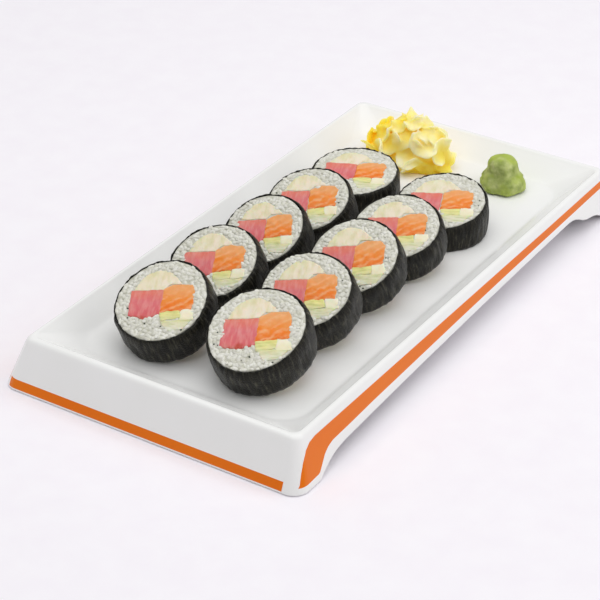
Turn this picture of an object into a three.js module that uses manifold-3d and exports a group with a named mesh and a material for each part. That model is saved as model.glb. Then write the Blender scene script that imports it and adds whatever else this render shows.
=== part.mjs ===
// Ten thick maki rolls in two shingled rows on a footed porcelain platter, with a heap of pickled ginger
// and a cone of wasabi. Millimetres, +Z up, x across the platter, y along it with the front end at -y.
// The origin is under the middle of the platter, on the table.

import * as THREE from "three";
import { mergeVertices } from "three/addons/utils/BufferGeometryUtils.js";
import Module from "manifold-3d";

const wasm = await Module();
wasm.setup();

// ---- Driving dimensions ----

const RIM_WIDTH = 170;
const RIM_LENGTH = 335;
const PLATTER_HEIGHT = 27;
const SIDE_FLARE = 9; // how far each long side leans out between the rim and the table
const END_FLARE = 12; // the same at the two ends, which reach down as feet
const WELL_DEPTH = 10.5;
const SIDE_SLOPE_RUN = 15; // width of the well's sloping wall along the long sides
const END_SLOPE_RUN = 19; // and across the ends
const FLOOR_THICKNESS = 4.5;
const FOOT_WALL = 8; // wall of the hollow feet
const ARCH_RISE = 14.2; // height of the long sides' lower edge over the table, where it is highest
// That edge from the front foot to the back one, as an arch of bends: y and z of each bend's pull and end.
// It has a shoulder over each foot, where the leg turns down, and between them it rises toward the back.
const ARCH_START = [-160, -0.5];
const ARCH_BENDS = [
  [-152.5, 3.6, -146, 5.6], [-139, 7.8, -128, 8], [-30, 12.1, 113, ARCH_RISE],
  [123, 14.6, 129, 11.2], [133, 8.3, 139, 7.8], [149, 6.6, 153, 3.2], [156, 0.8, 160, -0.5],
];
const ARCH_INNER_X = 76; // the air under the well's floor is this wide each way
const ARCH_OUTER_X = 92; // and from here outward it is as high as the long sides' edge

const GAP = 0.3; // air left between pieces that touch
const REST_GAP = 1.0; // air between a leaning roll and the edge it leans on, over the relief of the cut

const FLOOR_Z = PLATTER_HEIGHT - WELL_DEPTH;

// Each row runs from the front roll to the back one. frontY is where a roll's lower front edge stands.
const ROWS = {
  roll_left: {
    x: [-29.3, -28.3, -26.0, -26.2, -28.8],
    frontY: [-136.6, -87.4, -41.2, 0.0, 42.7],
    diameter: [51.2, 48.8, 45.8, 47.5, 50.9],
    height: [18.6, 20.9, 20.4, 18.8, 19.9],
    backSlant: 4.9,
  },
  roll_right: {
    x: [29.6, 28.5, 30.2, 30.8, 30.5],
    frontY: [-136.5, -86.9, -43.1, -1.1, 40.0],
    diameter: [52.6, 50.0, 50.4, 49.5, 52.4],
    height: [20.7, 19.9, 18.3, 18.4, 18.6],
    backSlant: 9.4,
  },
};

// Layout of a cut face, for a roll of this radius: the blocks are turned by FACE_TURN degrees.
const FACE_RADIUS = 26.4;
const FACE_TURN = 22;
const RIM_LIP = 0.3; // how far the nori stands over the rice
const FILLING_RISE = 0.4; // how far the fillings stand over the rice

const WASABI = { x: 37, y: 131, radius: 13.5, height: 20 };
const GINGER = { x: -30, y: 130, radiusX: 31, radiusY: 17, height: 28, slices: 16 };

const PORCELAIN = { color: 0xefeeec, roughness: 0.15, metalness: 0 };
const NORI = { color: 0x2a2b26, roughness: 0.6, metalness: 0 };
const PICKLED_GINGER = { color: 0xeedd8a, roughness: 0.4, metalness: 0 };
const WASABI_PASTE = { color: 0x8fa648, roughness: 0.7, metalness: 0 };

// ---- Solids ----

function toSolid(geometry) {
  const bare = geometry.clone();
  bare.deleteAttribute("normal");
  bare.deleteAttribute("uv");
  const merged = mergeVertices(bare);
  const mesh = new wasm.Mesh({
    numProp: 3,
    vertProperties: merged.attributes.position.array,
    triVerts: new Uint32Array(merged.index.array),
  });
  return new wasm.Manifold(mesh);
}

function toGeometry(solid) {
  const mesh = solid.getMesh();
  const geometry = new THREE.BufferGeometry();
  geometry.setAttribute("position", new THREE.BufferAttribute(mesh.vertProperties.slice(), 3));
  geometry.setIndex(new THREE.BufferAttribute(mesh.triVerts.slice(), 1));
  return geometry.toNonIndexed();
}

// The largest body of a fused solid, without slivers: a hollow that fusing seals is filled and a loose
// scrap is dropped.
function largestBody(solid) {
  const sliver = 0.02;
  const bodies = solid.simplify(sliver).decompose();
  return bodies.reduce((best, body) => (body.volume() > best.volume() ? body : best));
}

// Moves every vertex of a geometry by a function of its place.
function reshape(geometry, move) {
  const position = geometry.attributes.position;
  const point = new THREE.Vector3();
  for (let i = 0; i < position.count; i++) {
    point.fromBufferAttribute(position, i);
    move(point);
    position.setXYZ(i, point.x, point.y, point.z);
  }
  return geometry;
}

// Repeatable numbers from 0 to 1.
function seeded(seed) {
  let state = seed;
  return () => {
    state = (state * 16807) % 2147483647;
    return state / 2147483647;
  };
}

// A stack of rounded rectangles joined into one solid. Each level is { z, width, length, corner }.
function roundedLoft(levels, cornerPoints = 4) {
  const first = levels[0];
  const halfX = first.width / 2 - first.corner;
  const halfY = first.length / 2 - first.corner;
  const outline = new THREE.Shape();
  const quarter = Math.PI / 2;
  outline.absarc(halfX, halfY, first.corner, 0, quarter);
  outline.absarc(-halfX, halfY, first.corner, quarter, 2 * quarter);
  outline.absarc(-halfX, -halfY, first.corner, 2 * quarter, 3 * quarter);
  outline.absarc(halfX, -halfY, first.corner, 3 * quarter, 4 * quarter);
  const geometry = new THREE.ExtrudeGeometry(outline, {
    depth: levels.length - 1,
    steps: levels.length - 1,
    curveSegments: cornerPoints,
    bevelEnabled: false,
  });
  return reshape(geometry, (point) => {
    const level = levels[Math.round(point.z)];
    const centreX = Math.sign(point.x) * halfX;
    const centreY = Math.sign(point.y) * halfY;
    const across = (point.x - centreX) / first.corner;
    const along = (point.y - centreY) / first.corner;
    point.x = Math.sign(centreX) * (level.width / 2 - level.corner) + across * level.corner;
    point.y = Math.sign(centreY) * (level.length / 2 - level.corner) + along * level.corner;
    point.z = level.z;
  });
}

// ---- Platter ----

// The platter's outer outline at a height over the table, drawn in by an inset.
function outerLevel(z, inset, corner) {
  const drop = (PLATTER_HEIGHT - z) / PLATTER_HEIGHT;
  return {
    z,
    width: RIM_WIDTH + 2 * (SIDE_FLARE * drop - inset),
    length: RIM_LENGTH + 2 * (END_FLARE * drop - inset),
    corner,
  };
}

// The well's outline, drawn in from the rim by a share of its sloping wall's width.
function wellLevel(z, share, corner, shrink = 0) {
  return {
    z,
    width: RIM_WIDTH - 2 * (SIDE_SLOPE_RUN * share + shrink),
    length: RIM_LENGTH - 2 * (END_SLOPE_RUN * share + shrink),
    corner,
  };
}

// From the well's floor up over the rim, rounded at the bottom and at the lip.
function wellLevels(lift, shrink, above) {
  return [
    wellLevel(FLOOR_Z + lift, 1.12, 16, shrink),
    wellLevel(FLOOR_Z + lift + 0.35, 1.02, 17, shrink),
    wellLevel(FLOOR_Z + lift + 1.4, 0.9, 16, shrink),
    wellLevel(PLATTER_HEIGHT - 1.2, 0.25, 6, shrink),
    wellLevel(PLATTER_HEIGHT, 0.16, 5, shrink),
    wellLevel(PLATTER_HEIGHT + above, 0.16, 5, shrink),
  ];
}

// The air between the two feet: an arch seen from the side, a little lower under the well's floor.
function archCutter() {
  const floorUnderside = FLOOR_Z - FLOOR_THICKNESS;
  const below = -5;
  const profile = new THREE.Shape();
  profile.moveTo(ARCH_START[0], below);
  profile.lineTo(...ARCH_START);
  ARCH_BENDS.forEach((bend) => profile.quadraticCurveTo(...bend));
  profile.lineTo(ARCH_BENDS.at(-1)[2], below);
  const beyond = RIM_WIDTH / 2 + 20;
  const between = (ARCH_INNER_X + ARCH_OUTER_X) / 2;
  const half = [ARCH_INNER_X, between, ARCH_OUTER_X, beyond];
  const stations = [...half.map((x) => -x).reverse(), ...half];
  const geometry = new THREE.ExtrudeGeometry(profile, {
    depth: stations.length - 1,
    steps: stations.length - 1,
    curveSegments: 4,
    bevelEnabled: false,
  });
  return reshape(geometry, (point) => {
    const x = stations[Math.round(point.z)];
    const outward = THREE.MathUtils.clamp((Math.abs(x) - ARCH_INNER_X) / (ARCH_OUTER_X - ARCH_INNER_X), 0, 1);
    const ceiling = floorUnderside + (ARCH_RISE - floorUnderside) * outward;
    point.set(x, point.x, Math.min(point.y, ceiling));
  });
}

function platterGeometry() {
  const body = roundedLoft([
    outerLevel(0, 1.5, 8),
    outerLevel(1.5, 0, 9),
    outerLevel(PLATTER_HEIGHT - 1.6, 0, 5),
    outerLevel(PLATTER_HEIGHT - 0.5, 0.5, 4.6),
    outerLevel(PLATTER_HEIGHT, 1.6, 4),
  ]);
  const feetHollow = roundedLoft([
    outerLevel(-2, FOOT_WALL, 4),
    outerLevel(2, FOOT_WALL, 4),
    outerLevel(FLOOR_Z - FLOOR_THICKNESS, FOOT_WALL, 4),
  ]);
  return toGeometry(
    toSolid(body)
      .subtract(toSolid(roundedLoft(wellLevels(0, 0, 3))))
      .subtract(toSolid(feetHollow))
      .subtract(toSolid(archCutter())),
  );
}

// ---- Rolls ----

// Outlines of the fillings on the cut face, before the turn: x to the right and y up.
const FILLINGS = {
  tuna: [[-18.2, 6.4], [0.0, 6.0], [0.2, -9.4], [-7.6, -12.2], [-17.8, -10.2]],
  avocado_slice: [[0.9, -9.2], [11.6, -7.9], [12.4, -13.4], [2.2, -14.4]],
  avocado_block: [[12.1, -7.3], [19.8, -6.9], [20.6, -13.4], [12.9, -13.6]],
  avocado_mash: [[3.6, -15.2], [18.8, -14.6], [14.5, -19.2], [7.0, -20.2]],
};
const FISH_MOON = { left: -16.6, right: 10.6, base: 7.6, top: 20.2 };
const SALMON = [[0.8, -7.6], [18.2, -5.4], [18.6, 6.8], [16.0, 9.6], [7.0, 9.4], [0.8, 6.6]];
const FAT_LINES = { angle: 31, spacing: 4.6, count: 3, width: 0.8, depth: 0.35, x: 9.6, y: 1.2 };

function polygon(points, scale) {
  return new THREE.Shape(points.map(([x, y]) => new THREE.Vector2(x * scale, y * scale)));
}

// A half moon: a straight base that steps up over the salmon, under one arc.
function moonShape(scale) {
  const { left, right, base, top } = FISH_MOON;
  const shape = new THREE.Shape();
  shape.moveTo(left * scale, base * scale);
  shape.lineTo(0.6 * scale, base * scale);
  shape.lineTo(3.0 * scale, (base + 3.4) * scale);
  shape.lineTo(right * scale, (base + 3.6) * scale);
  shape.quadraticCurveTo(4 * scale, top * scale, -4 * scale, top * scale);
  shape.quadraticCurveTo(-13 * scale, (top - 1) * scale, left * scale, base * scale);
  return shape;
}

// A block of filling that stands out of the rice around it.
function filling(shape, height) {
  const sunk = 1.5;
  const geometry = new THREE.ExtrudeGeometry(shape, {
    depth: sunk + FILLING_RISE,
    curveSegments: 3,
    bevelEnabled: false,
  });
  geometry.translate(0, 0, height - sunk);
  geometry.rotateZ(THREE.MathUtils.degToRad(FACE_TURN));
  return toSolid(geometry);
}

// The block of salmon, with slanting lines of fat that lie a little lower than the flesh.
function salmonBlock(height, scale) {
  let block = filling(polygon(SALMON, scale), height);
  for (let i = 0; i < FAT_LINES.count; i++) {
    const line = new THREE.BoxGeometry(40, FAT_LINES.width, 2 * FAT_LINES.depth);
    line.translate(0, (i - (FAT_LINES.count - 1) / 2) * FAT_LINES.spacing, 0);
    line.rotateZ(THREE.MathUtils.degToRad(FAT_LINES.angle));
    line.translate(FAT_LINES.x * scale, FAT_LINES.y * scale, height + FILLING_RISE);
    line.rotateZ(THREE.MathUtils.degToRad(FACE_TURN));
    block = block.subtract(toSolid(line));
  }
  return block;
}

// The uneven round of a roll: how far its outline stands out at an angle, as a share of the radius.
function unevenRound(angle, seed) {
  return 1 + 0.012 * Math.cos(2 * angle + seed) + 0.008 * Math.cos(3 * angle + 2.3 * seed);
}

function rollGeometry(diameter, height, slant, seed) {
  const radius = diameter / 2;
  const around = 32;
  const random = seeded(101 + 37 * seed);
  const riceRings = [radius - 1.1, radius - 3.4, radius - 5.7];
  const profile = [
    [0, 0],
    [radius - 0.7, 0],
    [radius, 0.7],
    [radius, height + RIM_LIP],
    ...riceRings.map((r) => [r, height]),
    [radius - 8, height],
    [0, height],
  ];
  const lathe = new THREE.LatheGeometry(profile.map(([r, z]) => new THREE.Vector2(r, z)), around);
  lathe.rotateX(Math.PI / 2);
  const bumps = riceRings.map(() => Array.from({ length: around }, () => random() - 0.5));
  reshape(lathe, (point) => {
    const r = Math.hypot(point.x, point.y);
    const angle = Math.atan2(point.y, point.x);
    const ring = riceRings.findIndex((value) => Math.abs(value - r) < 0.01);
    if (ring >= 0 && point.z > height / 2) {
      const step = Math.round(((angle / (2 * Math.PI)) * around + around) % around) % around;
      point.z += 0.7 * bumps[ring][step];
    }
    const out = unevenRound(angle, seed);
    point.x *= out;
    point.y *= out;
  });
  const scale = radius / FACE_RADIUS;
  let solid = toSolid(lathe);
  for (const outline of Object.values(FILLINGS)) {
    solid = solid.add(filling(polygon(outline, scale), height));
  }
  solid = solid.add(filling(moonShape(scale), height));
  solid = solid.add(salmonBlock(height, scale));
  const slope = Math.tan(THREE.MathUtils.degToRad(slant)) / height;
  return reshape(toGeometry(solid), (point) => {
    point.z *= 1 + slope * point.y;
  });
}

// The lean of each roll of a row, in radians. The back roll lies flat with a slanting cut, and each roll in
// front of it stands on its lower front edge and leans on the upper front edge of the roll behind.
function rowLeans({ frontY, diameter, height, backSlant }) {
  const last = frontY.length - 1;
  const leans = [];
  leans[last] = 0;
  const dropAtFront = Math.tan(THREE.MathUtils.degToRad(backSlant)) * (diameter[last] / 2);
  let edgeY = frontY[last];
  let edgeZ = height[last] - dropAtFront;
  for (let i = last - 1; i >= 0; i--) {
    leans[i] = Math.atan2(edgeZ + REST_GAP, edgeY - frontY[i]);
    edgeY = frontY[i] - height[i] * Math.sin(leans[i]);
    edgeZ = height[i] * Math.cos(leans[i]);
  }
  return leans;
}

function rollRow(name, row) {
  const group = new THREE.Group();
  rowLeans(row).forEach((lean, i) => {
    const slant = i === row.frontY.length - 1 ? row.backSlant : 0;
    const seed = name.length + 3 * i;
    const geometry = rollGeometry(row.diameter[i], row.height[i], slant, seed);
    geometry.computeBoundingBox();
    const mesh = new THREE.Mesh(geometry, new THREE.MeshStandardMaterial(NORI));
    mesh.name = `${name}_${i + 1}`;
    mesh.position.y = -geometry.boundingBox.min.y;
    const hinge = new THREE.Group();
    hinge.position.set(row.x[i], row.frontY[i], FLOOR_Z + GAP);
    hinge.rotation.x = lean;
    hinge.add(mesh);
    group.add(hinge);
  });
  return group;
}

// ---- Wasabi ----

// A cone pressed by hand: a broad foot, a waist and a rounded knob, with soft facets.
function wasabiGeometry() {
  const { radius, height } = WASABI;
  const profile = [
    [0, 0], [0.86, 0], [0.97, 0.08], [1.0, 0.2], [0.93, 0.36], [0.78, 0.5], [0.66, 0.62],
    [0.6, 0.74], [0.53, 0.86], [0.38, 0.95], [0.18, 0.99], [0, 1],
  ];
  const points = profile.map(([r, z]) => new THREE.Vector2(r * radius, z * height));
  const lathe = new THREE.LatheGeometry(points, 18);
  lathe.rotateX(Math.PI / 2);
  return reshape(lathe, (point) => {
    const angle = Math.atan2(point.y, point.x);
    const rise = point.z / height;
    const out = 1 + 0.04 * Math.cos(3 * angle + 1 + 2 * rise) + 0.03 * Math.cos(5 * angle - 3 * rise);
    point.x = point.x * out - 1.6 * rise;
    point.y *= out;
  });
}

// ---- Ginger ----

// A thin round slice, folded over one axis and frilled along its edge, centred on the origin.
function gingerSlice(halfLength, halfWidth, fold, frill, thickness) {
  const surface = (u, v) => {
    const x = u * Math.sqrt(1 - (v * v) / 2);
    const y = v * Math.sqrt(1 - (u * u) / 2);
    const wave = frill * Math.sin(5.2 * x + 2.4 * y) * (x * x + y * y);
    const bend = fold * x;
    return new THREE.Vector3(
      (halfLength * Math.sin(bend)) / fold,
      halfWidth * y,
      (-halfLength * (1 - Math.cos(bend))) / fold + wave,
    );
  };
  const step = 0.02;
  return reshape(new THREE.BoxGeometry(2, 2, 2, 5, 4, 1), (point) => {
    const centre = surface(point.x, point.y);
    const alongU = surface(point.x + step, point.y).sub(surface(point.x - step, point.y));
    const alongV = surface(point.x, point.y + step).sub(surface(point.x, point.y - step));
    const normal = alongU.cross(alongV).normalize();
    point.copy(centre.addScaledVector(normal, (point.z * thickness) / 2));
  });
}

// The slices lie over a low mound in a spiral from its foot to its top, each tipped the way the mound falls.
function gingerGeometry() {
  const { radiusX, radiusY, height, slices } = GINGER;
  const random = seeded(13);
  const core = new THREE.SphereGeometry(1, 18, 10);
  core.rotateX(Math.PI / 2);
  core.scale(radiusX, radiusY, height);
  let heap = toSolid(core);
  const goldenAngle = Math.PI * (3 - Math.sqrt(5));
  for (let i = 0; i < slices; i++) {
    const climb = (i + 0.5) / slices;
    const angle = i * goldenAngle + 0.5;
    const spread = Math.sqrt(1 - climb * climb);
    const halfLength = 12 + 4 * random();
    const halfWidth = 8 + 3 * random();
    const fold = 0.9 + 0.5 * random();
    const frill = 0.7 + 0.8 * random();
    const slice = gingerSlice(halfLength, halfWidth, fold, frill, 2.0);
    slice.rotateZ(random() * Math.PI);
    slice.rotateY((Math.PI / 2 - Math.asin(climb)) * (0.75 + 0.3 * random()));
    slice.rotateZ(angle);
    slice.translate(
      radiusX * spread * Math.cos(angle),
      radiusY * spread * Math.sin(angle),
      height * climb + 1,
    );
    heap = heap.add(toSolid(slice));
  }
  const wellSpace = roundedLoft(wellLevels(GAP, GAP, 60));
  wellSpace.translate(-GINGER.x, -GINGER.y, -FLOOR_Z);
  return toGeometry(largestBody(heap.intersect(toSolid(wellSpace))));
}

// ---- The whole ----

function piece(name, geometry, finish, x = 0, y = 0, z = 0) {
  const mesh = new THREE.Mesh(geometry, new THREE.MeshStandardMaterial(finish));
  mesh.name = name;
  mesh.position.set(x, y, z);
  return mesh;
}

const maki = new THREE.Group();
maki.add(piece("platter", platterGeometry(), PORCELAIN));
for (const [name, row] of Object.entries(ROWS)) {
  maki.add(rollRow(name, row));
}
maki.add(piece("ginger", gingerGeometry(), PICKLED_GINGER, GINGER.x, GINGER.y, FLOOR_Z));
maki.add(piece("wasabi", wasabiGeometry(), WASABI_PASTE, WASABI.x, WASABI.y, FLOOR_Z + GAP));

export default maki;
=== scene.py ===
import math
import random
from collections import namedtuple

import bmesh
import bpy
import numpy as np
from mathutils import Matrix, Vector, noise


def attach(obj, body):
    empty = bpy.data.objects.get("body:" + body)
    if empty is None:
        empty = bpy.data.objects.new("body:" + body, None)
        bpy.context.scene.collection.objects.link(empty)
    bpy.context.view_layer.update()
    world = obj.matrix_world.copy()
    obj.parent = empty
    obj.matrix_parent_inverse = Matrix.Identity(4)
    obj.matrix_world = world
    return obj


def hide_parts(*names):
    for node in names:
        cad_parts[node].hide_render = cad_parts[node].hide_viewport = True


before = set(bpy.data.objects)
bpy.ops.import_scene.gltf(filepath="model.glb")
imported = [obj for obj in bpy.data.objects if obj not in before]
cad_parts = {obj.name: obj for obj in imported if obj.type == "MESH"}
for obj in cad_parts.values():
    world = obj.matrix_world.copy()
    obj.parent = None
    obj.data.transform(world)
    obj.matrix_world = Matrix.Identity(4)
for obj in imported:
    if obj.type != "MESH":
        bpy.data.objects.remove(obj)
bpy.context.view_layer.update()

MM = 0.001  # everything below is in millimetres and becomes metres when a piece is finished

# ---- Driving dimensions, as the frame's solids have them ----

RIM_WIDTH = 170.0
RIM_LENGTH = 335.0
PLATTER_HEIGHT = 27.0
SIDE_FLARE = 9.0
END_FLARE = 12.0
WELL_DEPTH = 10.5
SIDE_SLOPE_RUN = 15.0
END_SLOPE_RUN = 19.0
FLOOR_THICKNESS = 4.5
FLOOR_Z = PLATTER_HEIGHT - WELL_DEPTH
CEILING_Z = FLOOR_Z - FLOOR_THICKNESS
ARCH_RISE = 14.2
ARCH_START = (-160.0, -0.5)
# The long sides' lower edge from foot to foot: y and z of each bend's pull and end.
ARCH_BENDS = (
    (-152.5, 3.6, -146, 5.6), (-139, 7.8, -128, 8), (-30, 12.1, 113, ARCH_RISE),
    (123, 14.6, 129, 11.2), (133, 8.3, 139, 7.8), (149, 6.6, 153, 3.2), (156, 0.8, 160, -0.5),
)

# The orange bands under the glaze. The side band's upper and lower edge are y and height over the table.
BAND_FROM = -181.0
BAND_TO = 181.0
BAND_SIDE_X = 85.4
BAND_TOP = (
    (-181, 2.0), (-174.7, 3.8), (-171.6, 9.7), (-167.9, 15.4), (-164.1, 19.2), (-159.8, 21.4), (-154.4, 22.3),
    (90, 22.4), (181, 22.8),
)
BAND_BOTTOM = (
    (-181, 4.4), (-174.7, 3.8), (-158.8, 4.3), (-155.2, 7.1), (-150.9, 10.6), (-146.8, 12.5), (-142, 13.5),
    (-126, 13.9), (-103, 14.7), (-7, 16.7), (41, 17.5), (137, 18.6), (181, 19.0),
)
END_BAND = {"y": 172.0, "left": -89.0, "right": 83.0, "low": 1.5, "high": 6.3}
BAND_EDGE = 0.15  # how soft a band's edge is

GAP = 0.3  # between what lies in the well and its glaze
REST_GAP = 1.0  # between a leaning roll and the roll that it leans on

ROWS = {
    "roll_left": {
        "x": (-29.3, -28.3, -26.0, -26.2, -28.8),
        "front_y": (-136.6, -87.4, -41.2, 0.0, 42.7),
        "diameter": (51.2, 48.8, 45.8, 47.5, 50.9),
        "height": (18.6, 20.9, 20.4, 18.8, 19.9),
        "back_slant": 4.9,
    },
    "roll_right": {
        "x": (29.6, 28.5, 30.2, 30.8, 30.5),
        "front_y": (-136.5, -86.9, -43.1, -1.1, 40.0),
        "diameter": (52.6, 50.0, 50.4, 49.5, 52.4),
        "height": (20.7, 19.9, 18.3, 18.4, 18.6),
        "back_slant": 9.4,
    },
}

# The fillings' outlines on the cut face of a roll of this radius, before the turn.
FACE_RADIUS = 26.4
FACE_TURN = math.radians(22)
TUNA = ((-18.2, 7.2), (0.7, 7.0), (0.8, -9.4), (-7.6, -12.2), (-17.8, -10.2))
SALMON = ((0.5, -8.2), (18.2, -6.2), (18.6, 6.8), (16.0, 10.2), (7.0, 10.6), (0.5, 7.4))
AVOCADO_SLICE = ((0.6, -8.0), (11.9, -6.6), (12.6, -12.6), (2.0, -13.8))
AVOCADO_BLOCK = ((11.9, -6.6), (19.8, -6.2), (20.6, -13.2), (12.5, -13.4))
AVOCADO_MASH = ((1.6, -13.4), (19.6, -12.9), (14.9, -19.2), (6.0, -20.2))
FISH_MOON = {"left": -16.6, "right": 10.6, "base": 6.9, "top": 20.2}
# The lines of fat in the salmon.
FAT_ANGLE = math.radians(31)
FAT_SPACING = 4.6
FAT_MIDDLE = (9.6, 1.2)
FAT_GROOVE = {"half_width": 0.9, "depth": 0.15}

BELLY = 1.6  # how far a roll's side swells out between its two cuts
NORI = {"thickness": 0.42, "lap": (8, 12), "seam_degrees": (100, 165), "steps": (300, 12)}
FILLING = {"foot": 0.15, "rise": 0.15, "soften": 0.4}
RICE = {"inset": 0.9, "ring": 1.5, "foot": 0.4, "sunk": 0.3, "round": 0.6, "steps": 96}
GRAIN = {
    "pitch": 2.1, "slip": 0.6, "half_length": (2.1, 2.9), "half_width": (1.1, 1.4), "lift": (-0.2, 0.15),
    "standing": 0.35, "depth": 0.95, "edge": 1.4, "rim": 3.0, "proud": 0.05,
}
FLECK = {"share": 0.05, "half_length": 0.6, "half_width": 0.4, "lift": 0.8, "below": 6}

WASABI = {"x": 37.0, "y": 131.0, "radius": 13.5, "height": 20.0}
WASABI_TURNS = 120
PRESS = {"width": 0.42, "height": 0.3}
# Where fingers pressed the wasabi in: the way each faces, its share of the height and its depth.
WASABI_PRESSES = ((-88, 0.5, 0.2), (-20, 0.62, 0.1), (60, 0.5, 0.15), (140, 0.55, 0.13), (215, 0.5, 0.12))

GINGER = {
    "x": -30.0, "y": 130.0, "radius_x": 31.0, "radius_y": 17.0, "height": 28.0, "left_share": 0.88,
    "slices": 38, "spread": 0.92, "skin": 0.5, "skin_rounds": 3,
}
SLICE = {
    "thickness": 1.7, "ragged": 0.14, "half_length": (8, 12.5), "half_width": (6, 9), "fold": (0.6, 1.3),
    "frill": (0.7, 1.6),
}


# ---- Helpers ----

def linear(colour):
    """A colour written as sRGB hex, as the linear values that sockets hold."""
    shares = [int(colour[i:i + 2], 16) / 255 for i in (1, 3, 5)]
    return [s / 12.92 if s <= 0.04045 else ((s + 0.055) / 1.055) ** 2.4 for s in shares] + [1.0]


def node(tree, kind, inputs=None, stops=(), **settings):
    """Adds a node with its settings, ramp stops and inputs: values, colours or other nodes' outputs."""
    added = tree.nodes.new("ShaderNode" + kind)
    for name, value in settings.items():
        setattr(added, name, value)
    for name, value in (inputs or {}).items():
        if isinstance(value, bpy.types.NodeSocket):
            tree.links.new(value, added.inputs[name])
        else:
            added.inputs[name].default_value = linear(value) if isinstance(value, str) else value
    if stops:
        ramp = added.color_ramp
        while len(ramp.elements) < len(stops):
            ramp.elements.new(1.0)
        for element, (place, colour) in zip(ramp.elements, stops):
            element.position = place
            element.color = linear(colour)
    return added


def new_material(name, **sockets):
    """A material with one Principled shader, and the sockets that are the same all over it."""
    material = bpy.data.materials.new(name)
    material.use_nodes = True
    shader = material.node_tree.nodes["Principled BSDF"]
    for socket, value in sockets.items():
        shader.inputs[socket.replace("_", " ")].default_value = value
    return material, material.node_tree, shader


def finish_piece(bm, name, material, slot, *replaced):
    """Makes a bmesh in millimetres a piece of the object, in metres."""
    bmesh.ops.scale(bm, vec=(MM, MM, MM), verts=bm.verts)
    for face in bm.faces:
        face.smooth = True
    mesh = bpy.data.meshes.new(name)
    bm.to_mesh(mesh)
    bm.free()
    mesh.materials.append(material)
    piece = bpy.data.objects.new(name, mesh)
    bpy.context.scene.collection.objects.link(piece)
    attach(piece, "root")
    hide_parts(*replaced)
    return piece


def bent_grid(bm, across, along, place):
    """A grid of across by along faces, each corner put where place(u, v) says, u and v from -1 to 1."""
    grid = bmesh.ops.create_grid(bm, x_segments=across, y_segments=along, size=1)
    for vert in grid["verts"]:
        vert.co = place(vert.co.x, vert.co.y)
    return grid["verts"]


def turned(bm, profile, steps):
    """Spins a profile of radius and height round Z into a closed body."""
    verts = [bm.verts.new((r, 0, z)) for r, z in profile]
    edges = [bm.edges.new(pair) for pair in zip(verts, verts[1:])]
    bmesh.ops.spin(
        bm, geom=verts + edges, cent=(0, 0, 0), axis=(0, 0, 1), angle=math.tau, steps=steps, use_merge=True,
    )
    bmesh.ops.remove_doubles(bm, verts=bm.verts, dist=1e-4)
    bmesh.ops.recalc_face_normals(bm, faces=bm.faces)


def rounded(points, rounds):
    """Cuts the corners of an open line of tuples, again and again, and keeps its two ends."""
    for _ in range(rounds):
        cut = [points[0]]
        for a, b in zip(points, points[1:]):
            cut.append(tuple(0.75 * p + 0.25 * q for p, q in zip(a, b)))
            cut.append(tuple(0.25 * p + 0.75 * q for p, q in zip(a, b)))
        cut.append(points[-1])
        points = cut
    return points


def rough(point, size, seed=0.0):
    """Smooth noise from about -1 to 1 whose bumps are this many millimetres wide."""
    return noise.noise(Vector(point) / size + Vector((seed, 2.7 * seed, -seed)))


# ---- Materials ----
# Object coordinates are in metres and the attributes wrap and cut in millimetres, so a pattern's scale is
# 1 / a real size in one or the other.

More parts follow.
